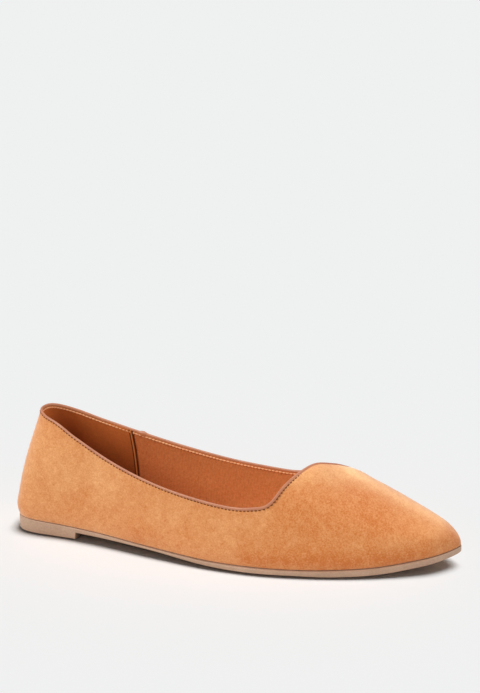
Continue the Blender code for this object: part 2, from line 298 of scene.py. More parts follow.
def rolled(u, points):
    """Lift of the roll at points of the skin."""
    away = np.linalg.norm(points - at_ring(u, ring_points), axis=-1)
    sink, full = np.exp(-(away / SINK_REACH) ** 2), np.exp(-((away - FULL_AWAY) / FULL_REACH) ** 2)
    return throat(u) * (THROAT_FULL * full - THROAT_SINK * sink)


def wall(u, v, lift):
    """Point of the upper, lifted out from the last's skin; a negative lift lies inside the shoe."""

    def flat(u_at, v_at):
        return skin(*wall_place(u_at, v_at, SUEDE_TRIM))

    points = flat(u, v)
    run = flat(u + TURN_STEP, v) - flat(u - TURN_STEP, v)
    climb = flat(u, np.minimum(v + TURN_STEP, 1)) - flat(u, np.maximum(v - TURN_STEP, 0))
    low = np.clip(1 - (points[:, 2] - section("seat", points[:, 0])) / FEATHER_ROUND, 0, 1)
    rounded = FEATHER_ROUND * (1 - np.sqrt(1 - low ** 2))
    shaped = lift - soft_lines(points, CREASES) + rolled(u, points) - rounded
    return points + unit(np.cross(run, climb)) * shaped[:, None]


def outline(u, offset):
    """Feather edge seen from above, moved outwards by an offset."""

    def edge(u_at):
        turn, hand = turn_and_hand(u_at)
        return skin(along_of(turn), hand)

    points = edge(u)
    run = edge(u + TURN_STEP) - edge(u - TURN_STEP)
    points[:, :2] += unit(np.stack([run[:, 1], -run[:, 0]], -1)) * np.asarray(offset)[..., None]
    return points


# Points closer than this are merged, and edges shorter than this are removed
MERGE, SLIVER = 0.01, 0.005


def as_piece(name, bm):
    mesh = bpy.data.meshes.new(name)
    bm.to_mesh(mesh)
    bm.free()
    mesh.shade_smooth()
    made = bpy.data.objects.new(name, mesh)
    bpy.context.scene.collection.objects.link(made)
    return made


def laid_grid(name, columns, rows, place, runs=None):
    """Grid whose points are place(column value, row value) in the last's millimetres, with its seams merged.
    runs gives the UV map in millimetres in the same way."""
    bm = bmesh.new()
    uv = bm.loops.layers.uv.new("UVMap")
    bmesh.ops.create_grid(bm, x_segments=len(columns) - 1, y_segments=len(rows) - 1, size=0.5)
    share = np.array([vert.co for vert in bm.verts]) + 0.5
    u = np.interp(share[:, 0], np.linspace(0, 1, len(columns)), columns)
    v = np.interp(share[:, 1], np.linspace(0, 1, len(rows)), rows)
    for vert, point in zip(bm.verts, (place(u, v) - LAST_CENTRE) * MM):
        vert.co = point
    if runs:
        flat = runs(u, v)
        for face in bm.faces:
            for loop in face.loops:
                loop[uv].uv = flat[loop.vert.index]
    bmesh.ops.remove_doubles(bm, verts=bm.verts, dist=MERGE * MM)
    bmesh.ops.dissolve_degenerate(bm, edges=bm.edges, dist=SLIVER * MM)
    bmesh.ops.recalc_face_normals(bm, faces=bm.faces)
    return as_piece(name, bm)


def thicken(piece, thickness):
    """Give a sheet its thickness, inwards."""
    made = piece.modifiers.new("thickness", "SOLIDIFY")
    made.thickness = thickness * MM
    made.offset = -1


def linear(colour):
    """sRGB hex to linear red, green, blue and alpha."""
    parts = [int(colour[i:i + 2], 16) / 255 for i in (1, 3, 5)]
    return (*[c / 12.92 if c <= 0.04045 else ((c + 0.055) / 1.055) ** 2.4 for c in parts], 1)


def add(tree, kind, links=None, **settings):
    """Add a node: settings are its own properties, links give an input a socket to join or a plain value."""
    made = tree.nodes.new(kind)
    for name, value in settings.items():
        setattr(made, name, value)
    for name, value in (links or {}).items():
        if isinstance(value, bpy.types.NodeSocket):
            tree.links.new(value, made.inputs[name])
        else:
            made.inputs[name].default_value = value
    return made


def new_material(name):
    """Empty material with its shader and its coordinates."""
    made = bpy.data.materials.new(name)
    made.use_nodes = True
    tree = made.node_tree
    return made, tree, tree.nodes["Principled BSDF"], add(tree, "ShaderNodeTexCoord")


# Brushed microfibre suede: fibres lie in patches, so the colour drifts in soft blotches with a fleck of each
# fibre bundle, no gloss, and a pale bloom where the nap is seen edge on. Sizes and weights are of blotch,
# patch and fleck, and the attribute "tone" carries painted highlight and shade, with a few patches of nap
# tone.
SUEDE_DEEP, SUEDE_LIGHT, SUEDE_BLOOM = "#be6828", "#f6c186", "#fbe6d6"
SUEDE_BLOTCH_MM, SUEDE_PATCH_MM, SUEDE_FLECK_MM = 16.0, 3.5, 0.9
BLOTCH_WEIGHT, PATCH_WEIGHT, FLECK_WEIGHT = 0.45, 0.55, 1.1
NAP_DEEP, NAP_LIGHT = 0.7, 2.0
suede, tree, shader, coords = new_material("brushed_suede")
# Painted highlight and shade, with a few patches of nap tone, from the "tone" attribute, added to the grain
painted_tone_node = add(tree, "ShaderNodeAttribute", attribute_name="tone")
blotch = add(tree, "ShaderNodeTexNoise", {"Vector": coords.outputs["Object"],
                                          "Scale": METRE / SUEDE_BLOTCH_MM, "Detail": 3.0,
                                          "Roughness": 0.6})
patch = add(tree, "ShaderNodeTexNoise", {"Vector": coords.outputs["Object"],
                                         "Scale": METRE / SUEDE_PATCH_MM, "Detail": 4.0,
                                         "Roughness": 0.6})
fleck = add(tree, "ShaderNodeTexNoise", {"Vector": coords.outputs["Object"],
                                         "Scale": METRE / SUEDE_FLECK_MM, "Detail": 3.0,
                                         "Roughness": 0.7})
nap_and_painted_light = painted_tone_node.outputs["Fac"]
for part, weight in ((blotch, BLOTCH_WEIGHT), (patch, PATCH_WEIGHT), (fleck, FLECK_WEIGHT)):
    nap_and_painted_light = add(tree, "ShaderNodeMath", {0: part.outputs["Fac"], 1: weight, 2: nap_and_painted_light},
              operation="MULTIPLY_ADD").outputs[0]
shade = add(tree, "ShaderNodeMapRange", {"Value": nap_and_painted_light, "From Min": NAP_DEEP, "From Max": NAP_LIGHT})
colour = add(tree, "ShaderNodeMix", {"Factor": shade.outputs[0], "A": linear(SUEDE_DEEP),
                                     "B": linear(SUEDE_LIGHT)}, data_type="RGBA")
relief = add(tree, "ShaderNodeBump", {"Height": fleck.outputs["Fac"], "Strength": 0.35, "Distance": 0.0004})
tree.links.new(colour.outputs["Result"], shader.inputs["Base Color"])
tree.links.new(relief.outputs["Normal"], shader.inputs["Normal"])
shader.inputs["Roughness"].default_value = 0.95
shader.inputs["Specular IOR Level"].default_value = 0.15
shader.inputs["Sheen Weight"].default_value = 0.7
shader.inputs["Sheen Roughness"].default_value = 0.5
shader.inputs["Sheen Tint"].default_value = linear(SUEDE_BLOOM)

# Columns of the wall are closer at the side seam, and its rows are closer at the feather edge and the topline
UPPER_STEPS, UPPER_ROWS, MARGIN_ROWS = 384, 60, 3
SEAM_COLUMNS, SEAM_SPAN = 13, 0.004
ROW_SPREAD = 0.35
row_share = np.linspace(0, 1, UPPER_ROWS + 1)
wall_rows = ROW_SPREAD * row_share + (1 - ROW_SPREAD) * eased(row_share)
margin_rows = np.linspace(-1, -1 / MARGIN_ROWS, MARGIN_ROWS)
seam_u = 1 - turn_of(np.mean(SIDE_SEAM)) / 2
seam_columns = seam_u + np.linspace(-1, 1, SEAM_COLUMNS) * SEAM_SPAN
upper_columns = np.union1d(np.linspace(0, 1, UPPER_STEPS + 1), seam_columns)


def suede_place(u, v):
    """Wall up to the trimmed topline; below 0 the margin that is turned under and cemented."""
    seam_along = SIDE_SEAM[0] + (SIDE_SEAM[1] - SIDE_SEAM[0]) * np.clip(v, 0, 1)
    points = wall(u, np.clip(v, 0, 1), 0.0)
    apart = (points[:, 0] - seam_along) / SEAM_HALF_WIDTH
    groove = np.where(u > 0.5, SEAM_DEPTH * np.exp(-apart ** 2), 0.0)
    points = wall(u, np.clip(v, 0, 1), -groove)
    under = outline(u, -FEATHER_ROUND - LASTING_MARGIN * np.clip(-v, 0, 1))
    return np.where((v < 0)[:, None], under, points)


upper = laid_grid("suede_upper", upper_columns, np.concatenate([margin_rows, wall_rows]), suede_place)
upper.data.materials.append(suede)
upper_points = np.array([vert.co for vert in upper.data.vertices]) / MM + LAST_CENTRE
# The "tone" attribute holds painted highlight and shade, with a few patches of nap tone
tones = upper.data.attributes.new("tone", "FLOAT", "POINT")
tones.data.foreach_set("value", soft_lines(upper_points, PAINTED_LIGHT_AND_NAP))
thicken(upper, SUEDE_THICK)
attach(upper, "root")
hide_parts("upper")

# Lining: orange-brown woven textile cemented inside the suede from toe to heel.
# It is cut with the upper at the topline, where the tape covers its edge.
LINING_OUT, LINING_IN = 0.67, 1.1
LINING_FOOT = 0.02
WALL_HEIGHT = 45.0
LINING_STEPS, LINING_ROWS = 256, 40
LINING_DEEP, LINING_LIGHT = "#c8763c", "#eca66a"
# Painted shade that deepens the lining towards the heel: where it starts and ends along the shoe, and its
# tint
PAINTED_SHADE_FRONT, PAINTED_SHADE_BACK, PAINTED_SHADE_TINT = 45.0, -60.0, "#ead0c4"
THREAD_MM, SLUB_MM = 0.45, 1.5
WEAVE_WEIGHT = 0.15
CLOTH_DEEP, CLOTH_LIGHT = 0.33, 0.93
# A wave texture of scale 1 repeats at this length
WAVE_LENGTH = 0.314
wall_run = np.concatenate([[0], np.cumsum(np.linalg.norm(np.diff(ring_points, axis=0), axis=1))])


def lining_run(u, v):
    """UV map of the lining: length round the shoe and height, in millimetres."""
    return np.stack([np.interp(u, ring, wall_run), v * WALL_HEIGHT], -1)


# Plain weave seen close: two sets of threads crossing, drawn about twice as coarse as real so that they show.
# It is deeper in colour towards the heel: painted shade, where less light falls inside the shoe.
textile, tree, shader, coords = new_material("woven_lining")
thread_scale = WAVE_LENGTH / (2 * THREAD_MM)
warp, weft = [add(tree, "ShaderNodeTexWave", {"Vector": coords.outputs["UV"], "Scale": thread_scale,
                                              "Distortion": 3.0, "Detail": 2.0}, bands_direction=direction)
              for direction in ("X", "Y")]
slub = add(tree, "ShaderNodeTexNoise", {"Vector": coords.outputs["Object"], "Scale": METRE / SLUB_MM,
                                        "Detail": 5.0, "Roughness": 0.7})
weave = add(tree, "ShaderNodeMath", {0: warp.outputs["Fac"], 1: weft.outputs["Fac"]}, operation="ADD")
cloth = add(tree, "ShaderNodeMath", {0: weave.outputs[0], 1: WEAVE_WEIGHT, 2: slub.outputs["Fac"]},
            operation="MULTIPLY_ADD")
shade = add(tree, "ShaderNodeMapRange", {"Value": cloth.outputs[0], "From Min": CLOTH_DEEP,
                                         "From Max": CLOTH_LIGHT})
colour = add(tree, "ShaderNodeMix", {"Factor": shade.outputs[0], "A": linear(LINING_DEEP),
                                     "B": linear(LINING_LIGHT)}, data_type="RGBA")
# Painted shade: the colour is multiplied down towards the heel, where less light falls inside the shoe; the
# sock takes it too
place = add(tree, "ShaderNodeSeparateXYZ", {"Vector": coords.outputs["Object"]})
painted_shade = add(tree, "ShaderNodeMapRange", {"Value": place.outputs["X"], "From Min": PAINTED_SHADE_FRONT * MM,
                                          "From Max": PAINTED_SHADE_BACK * MM})
colour = add(tree, "ShaderNodeMix", {"Factor": painted_shade.outputs[0], "A": colour.outputs["Result"],
                                     "B": linear(PAINTED_SHADE_TINT)}, data_type="RGBA", blend_type="MULTIPLY")
relief = add(tree, "ShaderNodeBump", {"Height": weave.outputs[0], "Strength": 0.3, "Distance": 0.0003})
tree.links.new(colour.outputs["Result"], shader.inputs["Base Color"])
tree.links.new(relief.outputs["Normal"], shader.inputs["Normal"])
shader.inputs["Roughness"].default_value = 0.85
shader.inputs["Specular IOR Level"].default_value = 0.15

lining_rows = np.linspace(LINING_FOOT, 1, LINING_ROWS + 1)
lining = laid_grid("textile_lining", np.linspace(0, 1, LINING_STEPS + 1), lining_rows,
                   lambda u, v: wall(u, v, -LINING_OUT), lining_run)
lining.data.materials.append(textile)
thicken(lining, LINING_IN - LINING_OUT)
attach(lining, "root")

# Heel lining: a darker brown non-woven pocket round the counter, sewn over the textile.
# Its front edges are folded under, so they stand up as a narrow bead.
HEEL_LINING_FRONT = (63.6, 60.2)
HEEL_LINING_THICK = 0.22
HEEL_LINING_GAP = 0.05
BEAD_WIDTH, BEAD_PROUD = 0.9, 0.35
POCKET_STEPS = 120
POCKET_DEEP, POCKET_LIGHT = "#683212", "#c46c34"
# Painted shade for the bead's crevices and a painted highlight for its fold
PAINTED_CREVICE_SHADE, PAINTED_FOLD_HIGHLIGHT = "#5e2c10", "#c4763e"
POCKET_GRAIN_MM, POCKET_DRIFT_MM = 1.2, 9.0
# Painted light: the tone rises by this much for each millimetre of height, paler high up where more light
# falls into the shoe, and runs between these ends
POCKET_RISE = 0.067
FIBRE_DEEP, FIBRE_LIGHT = 1.0, 4.0
# Painted light on the bead, as bands with their start and end by distance from the folded edge and their
# colour:
# painted shade in the sewn crevice behind it, a painted highlight on the fold, and painted shade in the
# crevice at its front
BEAD_PAINTED_LIGHT = [(BEAD_WIDTH + 0.6, BEAD_WIDTH + 0.4, PAINTED_CREVICE_SHADE),
              (BEAD_WIDTH + 0.1, BEAD_WIDTH, PAINTED_FOLD_HIGHLIGHT), (0.5, 0.35, PAINTED_CREVICE_SHADE)]
# Non-woven microfibre: matt and even in itself, with a fine grain of cut fibres and a slow drift of tone;
# painted light makes it paler towards the top, and the bead's bands are painted shade and highlight
pocket_look, tree, shader, coords = new_material("heel_lining_microfibre")
grain = add(tree, "ShaderNodeTexNoise", {"Vector": coords.outputs["Object"], "Scale": METRE / POCKET_GRAIN_MM,
                                         "Detail": 4.0})
drift = add(tree, "ShaderNodeTexNoise", {"Vector": coords.outputs["Object"], "Scale": METRE / POCKET_DRIFT_MM,
                                         "Detail": 3.0})
fibre = add(tree, "ShaderNodeMath", {0: grain.outputs["Fac"], 1: drift.outputs["Fac"]}, operation="ADD")
edge_run = add(tree, "ShaderNodeSeparateXYZ", {"Vector": coords.outputs["UV"]})
# Painted light: paler with height, where more light falls into the shoe
painted_light_by_height = add(tree, "ShaderNodeMath", {0: edge_run.outputs["Y"], 1: POCKET_RISE, 2: fibre.outputs[0]},
            operation="MULTIPLY_ADD")
shade = add(tree, "ShaderNodeMapRange", {"Value": painted_light_by_height.outputs[0], "From Min": FIBRE_DEEP,
                                         "From Max": FIBRE_LIGHT})
colour = add(tree, "ShaderNodeMix", {"Factor": shade.outputs[0], "A": linear(POCKET_DEEP),
                                     "B": linear(POCKET_LIGHT)}, data_type="RGBA")
# Painted shade in the bead's crevices and a painted highlight on its fold
for start, end, paint in BEAD_PAINTED_LIGHT:
    reach = add(tree, "ShaderNodeMapRange", {"Value": edge_run.outputs["X"], "From Min": start,
                                             "From Max": end})
    colour = add(tree, "ShaderNodeMix", {"Factor": reach.outputs[0], "A": colour.outputs["Result"],
                                         "B": linear(paint)}, data_type="RGBA")
relief = add(tree, "ShaderNodeBump", {"Height": grain.outputs["Fac"], "Strength": 0.25, "Distance": 0.0003})
tree.links.new(colour.outputs["Result"], shader.inputs["Base Color"])
tree.links.new(relief.outputs["Normal"], shader.inputs["Normal"])
shader.inputs["Roughness"].default_value = 0.9
shader.inputs["Specular IOR Level"].default_value = 0.1


def pocket_front(v):
    return HEEL_LINING_FRONT[0] + (HEEL_LINING_FRONT[1] - HEEL_LINING_FRONT[0]) * v * v


def from_fold(share, v):
    """UV map of the pocket: distance from its folded front edge, and height, in millimetres."""
    return np.stack([pocket_front(v) * (1 - np.abs(share)), v * WALL_HEIGHT], -1)


def pocket_place(share, v):
    """Share runs from -1 at the medial front edge over 0 at the heel's back to 1 at the lateral one."""
    bead = BEAD_PROUD * np.exp(-((from_fold(share, v)[:, 0] - BEAD_WIDTH / 2) / (BEAD_WIDTH / 2)) ** 2)
    return wall(turn_of(pocket_front(v)) / 2 * share, v, -LINING_IN - HEEL_LINING_GAP - bead)


pocket_columns = np.sin(np.linspace(-1, 1, POCKET_STEPS + 1) * np.pi / 2)
pocket = laid_grid("heel_lining", pocket_columns, lining_rows, pocket_place, from_fold)
pocket.data.materials.append(pocket_look)
thicken(pocket, HEEL_LINING_THICK)
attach(pocket, "root")

# Binding: a smooth synthetic tape folded over the topline, sewn through near its lower edges.
# Its ends lap on the medial side above the side seam, where it is thicker.
TAPE_HEIGHT, TAPE_INNER = 1.7, 1.75
TAPE_LOW, TAPE_RISE_START, TAPE_RISE_LENGTH = 0.68, 0.42, 0.2
TAPE_PROUD, TAPE_INSIDE = 0.25, -1.4
TAPE_EDGE, TAPE_TUCK = 0.2, 0.5
CROWN_FLATNESS, CROWN_POINTS, LEG_POINTS = 0.8, 13, 4
TAPE_STEPS = 512
LAP_PROUD, LAP_LENGTH = 0.5, 3.0
TAPE_DEEP, TAPE_LIGHT, TAPE_LEG_PAINTED_LIGHT = "#a66648", "#bc7c58", "#d08452"
TAPE_GRAIN_MM, TAPE_DRIFT_MM = 0.8, 7.0
TONE_DEEP, TONE_LIGHT = 0.6, 1.4
# Coated tape: smooth, slightly glossy, with a faint grain. The UV map's second number is the drop below the
# crown, negative inside. The inner leg turns paler between these two drops: painted light, for the glow it
# takes from the lining
LEG_START, LEG_FULL = -0.3, -0.9
tape_look, tree, shader, coords = new_material("binding_tape")
grain = add(tree, "ShaderNodeTexNoise", {"Vector": coords.outputs["Object"], "Scale": METRE / TAPE_GRAIN_MM,
                                         "Detail": 3.0})
drift = add(tree, "ShaderNodeTexNoise", {"Vector": coords.outputs["Object"], "Scale": METRE / TAPE_DRIFT_MM,
                                         "Detail": 3.0})
tone = add(tree, "ShaderNodeMath", {0: grain.outputs["Fac"], 1: drift.outputs["Fac"]}, operation="ADD")
shade = add(tree, "ShaderNodeMapRange", {"Value": tone.outputs[0], "From Min": TONE_DEEP,
                                         "From Max": TONE_LIGHT})
colour = add(tree, "ShaderNodeMix", {"Factor": shade.outputs[0], "A": linear(TAPE_DEEP),
                                     "B": linear(TAPE_LIGHT)}, data_type="RGBA")
drop = add(tree, "ShaderNodeSeparateXYZ", {"Vector": coords.outputs["UV"]})
# Painted light: the inner leg is paler, for the glow it takes from the lining
inside = add(tree, "ShaderNodeMapRange", {"Value": drop.outputs["Y"], "From Min": LEG_START,
                                          "From Max": LEG_FULL})
colour = add(tree, "ShaderNodeMix", {"Factor": inside.outputs[0], "A": colour.outputs["Result"],
                                     "B": linear(TAPE_LEG_PAINTED_LIGHT)}, data_type="RGBA")
relief = add(tree, "ShaderNodeBump", {"Height": grain.outputs["Fac"], "Strength": 0.2, "Distance": 0.0002})
tree.links.new(colour.outputs["Result"], shader.inputs["Base Color"])
tree.links.new(relief.outputs["Normal"], shader.inputs["Normal"])
shader.inputs["Roughness"].default_value = 0.45

# Section of the tape, out from the skin and down from the crown: inner leg, crown and outer leg
crown_half = (TAPE_PROUD - TAPE_INSIDE) / 2
crown = [(TAPE_INSIDE + crown_half * (1 - math.cos(a)), CROWN_FLATNESS * crown_half * (1 - math.sin(a)))
         for a in np.linspace(0, math.pi, CROWN_POINTS)]
leg_round = [(TAPE_EDGE * math.sin(a), TAPE_EDGE * math.cos(a))
             for a in np.linspace(0, math.pi / 2, LEG_POINTS)]
tape_profile = np.array(
    [(TAPE_INSIDE + TAPE_TUCK, TAPE_INNER), (TAPE_INSIDE + TAPE_EDGE, TAPE_INNER)]
    + [(TAPE_INSIDE + TAPE_EDGE - out, TAPE_INNER - TAPE_EDGE + down) for out, down in leg_round]
    + crown
    + [(TAPE_PROUD - TAPE_EDGE + out, TAPE_HEIGHT - TAPE_EDGE + down) for out, down in reversed(leg_round)]
    + [(TAPE_PROUD - TAPE_EDGE, TAPE_HEIGHT), (TAPE_PROUD - TAPE_TUCK, TAPE_HEIGHT)])


def tape_share(u):
    """Share of the tape's height on the outer face: folded lower along the sides, full round the throat."""
    risen = np.clip((turn_and_hand(u)[0] - TAPE_RISE_START) / TAPE_RISE_LENGTH, 0, 1)
    return TAPE_LOW + (1 - TAPE_LOW) * risen


def profile_at(v):
    """Place on the tape's section: out from the skin, and down from the crown."""
    return [np.interp(v, np.linspace(0, 1, len(tape_profile)), part) for part in tape_profile.T]


def tape_drop(u, v):
    """UV map of the tape: round the shoe, and down from the crown, negative on the inner face."""
    down = profile_at(v)[1]
    return np.stack([np.interp(u, ring, wall_run), np.where(v < 0.5, -down, down)], -1)


def tape_place(u, v):
    out, down = profile_at(v)
    down = np.where(v > 0.5, down * tape_share(u), down)
    points = at_ring(u, ring_points)
    lap = np.where(u > 0.5, np.exp(-((points[:, 0] - SIDE_SEAM[1]) / LAP_LENGTH * 2) ** 4), 0.0)
    middle = (TAPE_PROUD + TAPE_INSIDE) / 2
    out = middle + (out - middle) * (1 + lap * LAP_PROUD / crown_half)
    down = down - lap * LAP_PROUD * (1 - down / TAPE_HEIGHT)
    out = out - THROAT_SINK * throat(u)
    return points + at_ring(u, ring_out) * out[:, None] + at_ring(u, ring_down) * down[:, None]


tape = laid_grid("topline_tape", np.linspace(0, 1, TAPE_STEPS + 1), np.linspace(0, 1, len(tape_profile)),
                 tape_place, tape_drop)
tape.data.materials.append(tape_look)
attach(tape, "root")
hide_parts("topline_binding")

# Stitches: dark brown thread in the ditch along the tape's outer edge, and pale orange along its inner edge.
# Each is a short rounded stitch, half sunk where the needle pulls it in.
STITCH_PITCH = 2.0
# Length, width and height, two to three times as thick as real thread so that the stitches show, and their
# place out from the skin and down past the tape's edge
OUTER_SIZES, OUTER_OUT, OUTER_BELOW = (1.5, 0.7, 0.5), 0.1, 0.25
INNER_SIZES, INNER_OUT, INNER_BELOW = (2.3, 1.1, 0.6), -1.4, 0.3
DITCH_DEEP = 0.3
DARK_DEEP, DARK_LIGHT = "#5c2a0c", "#844618"
PALE_DEEP, PALE_LIGHT = "#f8a468", "#ffcc98"
PLY_MM = 0.6


def thread_look(name, deep, light, roughness, specular):
    """Twisted polyester thread: a fleck of light and deep where its plies turn."""
    made, tree, shader, coords = new_material(name)
    ply = add(tree, "ShaderNodeTexNoise", {"Vector": coords.outputs["Object"], "Scale": METRE / PLY_MM})
    colour = add(tree, "ShaderNodeMix", {"Factor": ply.outputs["Fac"], "A": linear(deep), "B": linear(light)},
                 data_type="RGBA")
    tree.links.new(colour.outputs["Result"], shader.inputs["Base Color"])
    shader.inputs["Roughness"].default_value = roughness
    shader.inputs["Specular IOR Level"].default_value = specular
    return made


round_run = np.append(wall_run, wall_run[-1] + np.linalg.norm(ring_points[0] - ring_points[-1]))
stitch_count = int(round_run[-1] / STITCH_PITCH)
stitch_u = np.interp(np.arange(stitch_count) / stitch_count * round_run[-1], round_run, np.append(ring, 1.0))


def stitch_row(name, out, down, sink, sizes, look):
    """Row of stitches round the topline in one mesh; sink is how much deeper they lie round the throat."""
    bm = bmesh.new()
    points, outward = at_ring(stitch_u, ring_points), unit(at_ring(stitch_u, ring_out))
    downward, run = unit(at_ring(stitch_u, ring_down)), unit(at_ring(stitch_u, ring_run))
    out = out - (THROAT_SINK + sink) * throat(stitch_u)
    centres = (points + outward * out[:, None] + downward * down[:, None] - LAST_CENTRE) * MM
    for centre, *axes in zip(centres, run, downward, outward):
        turned = Matrix(np.array([axis * size / 2 * MM for axis, size in zip(axes, sizes)]).T).to_4x4()
        bmesh.ops.create_uvsphere(bm, u_segments=8, v_segments=5, radius=1.0,
                                  matrix=Matrix.Translation(centre) @ turned)
    bmesh.ops.recalc_face_normals(bm, faces=bm.faces)
    made = as_piece(name, bm)
    made.data.materials.append(look)
    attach(made, "root")


stitch_row("outer_stitches", OUTER_OUT, TAPE_HEIGHT * tape_share(stitch_u) + OUTER_BELOW, DITCH_DEEP,
           OUTER_SIZES, thread_look("dark_thread", DARK_DEEP, DARK_LIGHT, 0.7, 0.2))
stitch_row("inner_stitches", INNER_OUT, np.full(stitch_count, TAPE_INNER + INNER_BELOW), 0.0,
           INNER_SIZES, thread_look("pale_thread", PALE_DEEP, PALE_LIGHT, 0.6, 0.5))

# Sock: a thin foam-backed textile on the lasting board, cut to the inside of the shoe.
# It lies loose-edged against the lining, with a soft rounded edge.
SOCK_INSET = 2.1
SOCK_THICK = 2.0
SOCK_ROUND, SOCK_FOOT = 0.9, 0.1
SOCK_STEPS, SOCK_ACROSS, SOCK_EDGE_POINTS = 120, 10, 5


def slab_rows(edge, shares):
    """Section of a slab once round: across its top, down the medial edge, back across the bottom and up the
    lateral edge. A row of the edge is inset, inset per turn-up, drop (0 top, 1 bottom), rise, and rise per
    turn-up."""
    rows = ([(*edge[0], share) for share in shares] + [(*row, 1.0) for row in edge[1:-1]]
            + [(*edge[-1], 1 - share) for share in shares] + [(*row, 0.0) for row in edge[-2:0:-1]])
    return np.array(rows + rows[:1])


def row_at(rows, v):
    return rows[np.rint(v * (len(rows) - 1)).astype(int)]


def slab_place(turn, v, rows, outset, top, bottom, turn_up):
    """Point of a slab that follows the feather edge's outline, for a turn from the heel to the toe."""
    inset, more_inset, drop, rise, more_rise, share = row_at(rows, v).T
    reach = outset - inset - more_inset * turn_up
    near, far = outline(turn / 2, reach), outline(1 - turn / 2, reach)
    points = near + (far - near) * share[:, None]
    points[:, 2] = top + (bottom - top) * drop + rise + more_rise * turn_up
    return points


sock_edge = [(SOCK_ROUND * (1 - math.cos(a)), 0, 0, SOCK_ROUND * (math.sin(a) - 1), 0)
             for a in np.linspace(math.pi / 2, 0, SOCK_EDGE_POINTS)]
sock_edge += [(0, 0, 1, SOCK_FOOT, 0), (SOCK_FOOT, 0, 1, 0, 0)]
sock_section = slab_rows(sock_edge, np.linspace(0, 1, SOCK_ACROSS + 1))


def sock_place(turn, v):
    seat = section("seat", along_of(turn))
    return slab_place(turn, v, sock_section, -SOCK_INSET, seat + SOCK_THICK, seat, 0.0)


sock = laid_grid("insole_sock", np.linspace(0, 1, SOCK_STEPS + 1), np.linspace(0, 1, len(sock_section)),
                 sock_place, lambda turn, v: sock_place(turn, v)[:, :2])
sock.data.materials.append(textile)
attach(sock, "root")
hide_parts("insole")

# Sole: a thin unit with a low heel, moulded in one piece in taupe rubber and cemented under the lasted upper.
# It is flush at the heel and stands out as a small ledge round the toe.
HEEL_LENGTH = 40.2
BREAST_LEAN = 0.4
SOLE_GAP = 0.3
SOLE_TOP = -0.15
LEDGE_INSIDE = 2.5
EDGE_ROUND, TREAD_ROUND = 0.55, 0.35
TREAD_CURVE = 5.0
TREAD_BORDER = 7.0
GROOVE_PITCH = 5.0
GROOVE_HALF, GROOVE_WALL, GROOVE_DEEP = 0.7, 0.3, 0.5
GROOVE_RUNS = [(10.0, HEEL_LENGTH - 5.0), (112.0, 238.0)]
TREAD_TOLERANCE = 0.001
SOLE_STEPS, SOLE_ACROSS, LEDGE_POINTS, TREAD_POINTS = 180, 24, 5, 4
SHARP_ANGLE = 40.0
RUBBER_DEEP, RUBBER_LIGHT = "#a07d64", "#b8977e"
RUBBER_GRAIN_MM, RUBBER_DRIFT_MM = 1.0, 14.0
# Moulded rubber: satin, with the mould's fine grain and a slow drift of tone
rubber, tree, shader, coords = new_material("moulded_rubber")
grain = add(tree, "ShaderNodeTexNoise", {"Vector": coords.outputs["Object"], "Scale": METRE / RUBBER_GRAIN_MM,
                                         "Detail": 3.0})
drift = add(tree, "ShaderNodeTexNoise", {"Vector": coords.outputs["Object"], "Scale": METRE / RUBBER_DRIFT_MM,
                                         "Detail": 3.0})
tone = add(tree, "ShaderNodeMath", {0: grain.outputs["Fac"], 1: drift.outputs["Fac"]}, operation="ADD")
shade = add(tree, "ShaderNodeMapRange", {"Value": tone.outputs[0], "From Min": TONE_DEEP,
                                         "From Max": TONE_LIGHT})
colour = add(tree, "ShaderNodeMix", {"Factor": shade.outputs[0], "A": linear(RUBBER_DEEP),
                                     "B": linear(RUBBER_LIGHT)}, data_type="RGBA")
relief = add(tree, "ShaderNodeBump", {"Height": grain.outputs["Fac"], "Strength": 0.15, "Distance": 0.0002})
tree.links.new(colour.outputs["Result"], shader.inputs["Base Color"])
tree.links.new(relief.outputs["Normal"], shader.inputs["Normal"])
shader.inputs["Roughness"].default_value = 0.5


def tread_height(along):
    """Underside of the sole: flat heel, breast, arch, flat ball and toe spring."""
    fore = np.maximum(section("seat", along) - SOLE_GAP - section("thick", along), 0)
    return fore * np.clip((along - HEEL_LENGTH) / BREAST_LEAN, 0, 1)


# Edge of the sole, from the top over the ledge and down to the tread, and the tread's cross grooves by their
# place along the shoe, inside a plain border
sole_edge = [(LEDGE_INSIDE, 0, 0, 0, 0)]
sole_edge += [(EDGE_ROUND * (1 - math.sin(a)), 0, 0, EDGE_ROUND * (math.cos(a) - 1), 0)
              for a in np.linspace(0, math.pi / 2, LEDGE_POINTS)]
sole_edge += [(TREAD_ROUND * (1 - math.cos(a)), 0, 1, TREAD_ROUND * (1 - math.sin(a)), 1)
              for a in np.linspace(0, math.pi / 2, TREAD_POINTS)]
sole_edge += [(0, TREAD_CURVE * share, 1, 0, 1 - share ** 2) for share in (0.25, 0.5, 0.75, 1.0)]
sole_section = slab_rows(sole_edge, np.linspace(0, 1, SOLE_ACROSS + 1))
grooves = np.concatenate([np.arange(*run, GROOVE_PITCH) for run in GROOVE_RUNS])


def sole_place(turn, v):
    along = along_of(turn)
    points = slab_place(turn, v, sole_section, section("welt", along), section("seat", along) + SOLE_TOP,
                        tread_height(along), section("turn_up", along))
    on_tread = np.abs(points[:, 2] - tread_height(along)) < TREAD_TOLERANCE
    under = on_tread & (row_at(sole_section, v)[:, 2] > 0.5)
    inside = np.minimum(points[:, 1] - outline(turn / 2, 0.0)[:, 1],
                        outline(1 - turn / 2, 0.0)[:, 1] - points[:, 1])
    away = np.abs(along[:, None] - grooves).min(-1)
    cut = np.clip((GROOVE_HALF + GROOVE_WALL - away) / GROOVE_WALL, 0, 1)
    cut = cut * np.clip(inside - TREAD_BORDER, 0, 1)
    points[:, 2] += np.where(under, GROOVE_DEEP * cut, 0.0)
    return points


